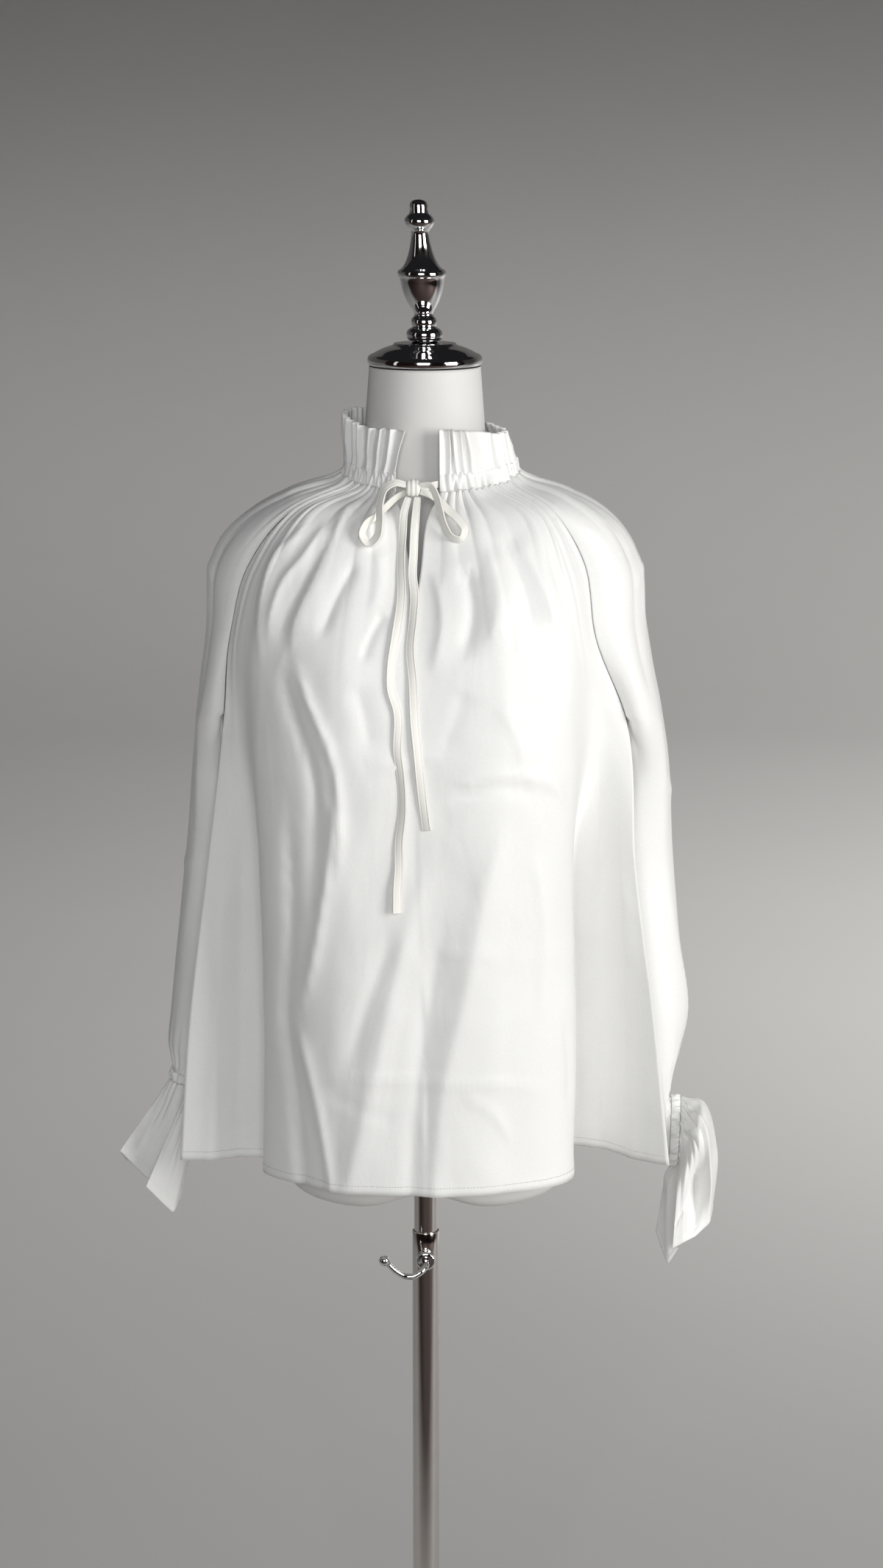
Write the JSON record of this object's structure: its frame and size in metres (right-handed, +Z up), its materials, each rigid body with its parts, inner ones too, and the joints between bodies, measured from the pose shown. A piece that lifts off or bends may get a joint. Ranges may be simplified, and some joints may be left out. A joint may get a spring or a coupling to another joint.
{
  "type": "blouse on a dress form",
  "caption": "Loose long-sleeved raglan blouse with a pleated stand-up collar, a tied bow neck and flounced cuffs, on a limbless dress form on a telescoping pole with a round base.",
  "frame": {"origin": "middle of the stand base's underside, on the pole's axis", "axes": "+Z up along the pole, +X to the right as the front is seen, -Y towards the front"},
  "size_m": [0.5665, 0.2931, 1.5428],
  "materials": {
    "blouse_cloth": "soft satin sheen, ivory white",
    "tie_cloth": "soft satin sheen, warm ivory",
    "form_cover": "smooth matte warm grey",
    "chrome": "mirror"
  },
  "bodies": {
    "stand": {"stand_base": "chrome", "pole_lower": "chrome", "lock_boss": "chrome"},
    "bust": {"pole_upper": "chrome", "dress_form": "form_cover", "neck_cap": "chrome", "finial": "chrome", "front": "blouse_cloth", "back": "blouse_cloth", "sleeve_left": "blouse_cloth", "sleeve_right": "blouse_cloth", "neck_casing": "blouse_cloth", "collar_frill": "blouse_cloth", "wrist_casing_left": "blouse_cloth", "wrist_casing_right": "blouse_cloth", "cuff_frill_left": "blouse_cloth", "cuff_frill_right": "blouse_cloth", "tie_knot": "tie_cloth", "tie_loop_left": "tie_cloth", "tie_loop_right": "tie_cloth", "tie_run_left": "tie_cloth", "tie_run_right": "tie_cloth", "tie_tail_left": "tie_cloth", "tie_tail_right": "tie_cloth"},
    "lever": {"lock_lever": "chrome", "lever_knob": "chrome"}
  },
  "joints": [
    {"name": "pole_slide", "type": "slide", "parent": "stand", "child": "bust", "axis": [0, 0, 1], "range_m": [-0.03, 0.25]},
    {"name": "lock_turn", "type": "hinge", "parent": "stand", "child": "lever", "pos_m": [0, -0.0225, 0.5668], "axis": [0, 1, 0], "range_deg": [-90, 45]}
  ]
}
